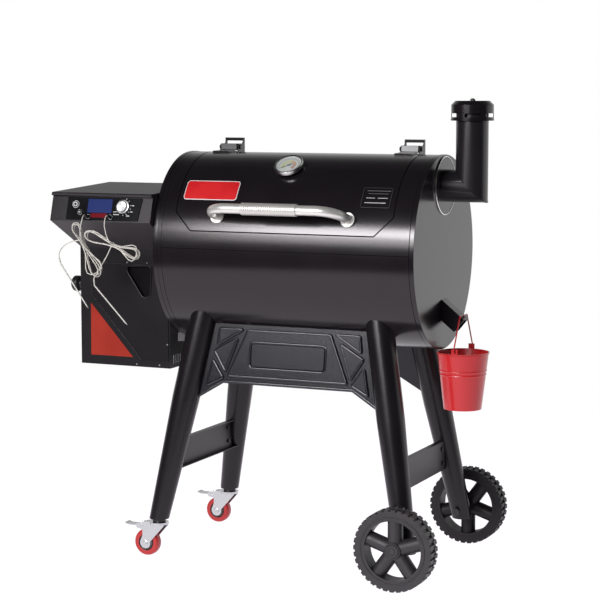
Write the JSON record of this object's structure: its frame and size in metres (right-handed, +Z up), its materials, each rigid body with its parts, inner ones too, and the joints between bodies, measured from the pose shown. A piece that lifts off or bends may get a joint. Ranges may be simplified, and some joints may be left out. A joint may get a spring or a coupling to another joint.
{
  "type": "pellet smoker grill",
  "caption": "Oval barrel pellet smoker on four splayed legs with wheels and casters, hinged front lid, side pellet hopper with control panel, capped flue and hanging grease bucket.",
  "frame": {"origin": "on the floor under the middle of the barrel", "axes": "+X along the barrel towards the flue, -Y towards the front with the lid handle, +Z up"},
  "size_m": [1.155, 0.595, 1.194],
  "materials": {
    "barrel_paint": "satin",
    "stand_paint": "satin",
    "hopper_paint": "satin",
    "stainless": "brushed",
    "bright_trim": "polished",
    "zinc_plate": "satin",
    "black_plastic": "matte",
    "bucket_paint": "gloss",
    "red_tread": "matte",
    "dial_white": "matte",
    "clear_glass": "clear",
    "display_blue": "gloss",
    "heat_steel": "matte",
    "braided_lead": "braided"
  },
  "bodies": {
    "grill": {"leg_front_left": "stand_paint", "leg_front_right": "stand_paint", "leg_rear_left": "stand_paint", "leg_rear_right": "stand_paint", "front_apron": "stand_paint", "rear_apron": "stand_paint", "left_crossbar": "stand_paint", "right_crossbar": "stand_paint", "fasteners": "zinc_plate", "caster_stems": "zinc_plate", "barrel_shell": "barrel_paint", "left_end_plate": "barrel_paint", "right_end_plate": "barrel_paint", "hinge_brackets": "barrel_paint", "flue_pipe": "barrel_paint", "grease_chute": "barrel_paint", "hopper_shell": "hopper_paint", "hopper_funnel": "zinc_plate", "control_panel": "black_plastic", "display": "display_blue", "access_panel": "hopper_paint", "auger_tube": "zinc_plate", "auger_motor": "black_plastic", "fan_housing": "black_plastic", "firepot": "heat_steel", "heat_baffle": "heat_steel", "drip_tray": "heat_steel", "cooking_grate": "stainless", "probe_plugs": "black_plastic", "probe_cord_left": "braided_lead", "probe_hank_left": "braided_lead", "probe_cord_right": "braided_lead", "probe_hank_right": "braided_lead", "probe_rods": "stainless"},
    "cooking_lid": {"lid": "barrel_paint", "lid_handle": "stainless", "handle_grip": "stainless", "lid_hinge_leaves": "barrel_paint", "gauge_case": "bright_trim", "gauge_dial": "dial_white", "gauge_lens": "clear_glass"},
    "needle": {"gauge_needle": "black_plastic"},
    "bin_lid": {"hopper_lid": "hopper_paint"},
    "knob": {"control_knob": "stainless"},
    "power_key": {"power_button": "black_plastic"},
    "menu_key": {"menu_button": "black_plastic"},
    "front_swivel": {"front_caster_fork": "zinc_plate"},
    "rear_swivel": {"rear_caster_fork": "zinc_plate"},
    "front_roller": {"front_caster_wheel": "red_tread"},
    "rear_roller": {"rear_caster_wheel": "red_tread"},
    "front_pedal": {"front_caster_brake": "zinc_plate"},
    "rear_pedal": {"rear_caster_brake": "zinc_plate"},
    "front_drive_wheel": {"front_wheel": "black_plastic"},
    "rear_drive_wheel": {"rear_wheel": "black_plastic"},
    "bail": {"bucket_bail": "stainless"},
    "bucket": {"grease_bucket": "bucket_paint"},
    "smoke_cap": {"flue_cap": "barrel_paint"},
    "auger": {"auger_screw": "stainless"},
    "fan": {"fan_wheel": "stainless"},
    "gate_pull": {"cleanout_knob": "black_plastic"}
  },
  "joints": [
    {"name": "lid_hinge", "type": "hinge", "parent": "grill", "child": "cooking_lid", "pos_m": [0, 0.03, 1.065], "axis": [-1, 0, 0], "range_deg": [0, 120]},
    {"name": "gauge_needle_turn", "type": "hinge", "parent": "cooking_lid", "child": "needle", "pos_m": [-0.016, -0.12502, 1.02594], "axis": [0, -0.5705, 0.8213], "range_deg": [-250, 0]},
    {"name": "hopper_lid_hinge", "type": "hinge", "parent": "grill", "child": "bin_lid", "pos_m": [-0.512, 0.093, 0.955], "axis": [-1, 0, 0], "range_deg": [0, 95]},
    {"name": "control_knob_turn", "type": "hinge", "parent": "grill", "child": "knob", "pos_m": [-0.44165, -0.22222, 0.91435], "axis": [0, -0.9637, 0.2669], "range_deg": [-150, 150]},
    {"name": "power_press", "type": "slide", "parent": "grill", "child": "power_key", "axis": [0, 0.9637, -0.2669], "range_m": [0, 0.0015], "stiffness_N_per_m": 600, "springref_m": -0.001},
    {"name": "menu_press", "type": "slide", "parent": "grill", "child": "menu_key", "axis": [0, 0.9637, -0.2669], "range_m": [0, 0.0015], "stiffness_N_per_m": 600, "springref_m": -0.001},
    {"name": "front_caster_swivel", "type": "hinge", "parent": "grill", "child": "front_swivel", "pos_m": [-0.352, -0.207, 0.09], "axis": [0, 0, 1], "continuous": true},
    {"name": "front_caster_roll", "type": "hinge", "parent": "front_swivel", "child": "front_roller", "pos_m": [-0.386, -0.207, 0.035], "axis": [0, 1, 0], "continuous": true},
    {"name": "front_brake_press", "type": "hinge", "parent": "front_swivel", "child": "front_pedal", "pos_m": [-0.398, -0.207, 0.0787], "axis": [0, -1, 0], "range_deg": [0, 10]},
    {"name": "front_wheel_roll", "type": "hinge", "parent": "grill", "child": "front_drive_wheel", "pos_m": [0.33581, -0.272, 0.102], "axis": [0, 1, 0], "continuous": true},
    {"name": "rear_caster_swivel", "type": "hinge", "parent": "grill", "child": "rear_swivel", "pos_m": [-0.352, 0.207, 0.09], "axis": [0, 0, 1], "continuous": true},
    {"name": "rear_caster_roll", "type": "hinge", "parent": "rear_swivel", "child": "rear_roller", "pos_m": [-0.386, 0.207, 0.035], "axis": [0, 1, 0], "continuous": true},
    {"name": "rear_brake_press", "type": "hinge", "parent": "rear_swivel", "child": "rear_pedal", "pos_m": [-0.398, 0.207, 0.0787], "axis": [0, -1, 0], "range_deg": [0, 10]},
    {"name": "rear_wheel_roll", "type": "hinge", "parent": "grill", "child": "rear_drive_wheel", "pos_m": [0.33581, 0.272, 0.102], "axis": [0, 1, 0], "continuous": true},
    {"name": "bail_swing", "type": "hinge", "parent": "grill", "child": "bail", "pos_m": [0.41052, 0, 0.64998], "axis": [0, -1, 0], "range_deg": [-2, 35]},
    {"name": "bucket_swing", "type": "hinge", "parent": "bail", "child": "bucket", "pos_m": [0.41052, 0, 0.56498], "axis": [0, -1, 0], "range_deg": [-2, 40]},
    {"name": "cap_lift", "type": "slide", "parent": "grill", "child": "smoke_cap", "axis": [0, 0, 1], "range_m": [-0.015, 0]},
    {"name": "auger_turn", "type": "hinge", "parent": "grill", "child": "auger", "pos_m": [-0.3, 0, 0.615], "axis": [1, 0, 0], "continuous": true},
    {"name": "fan_turn", "type": "hinge", "parent": "grill", "child": "fan", "pos_m": [-0.45, 0, 0.538], "axis": [1, 0, 0], "continuous": true},
    {"name": "gate_pull_out", "type": "slide", "parent": "grill", "child": "gate_pull", "axis": [-1, 0, 0], "range_m": [0, 0.06]}
  ]
}
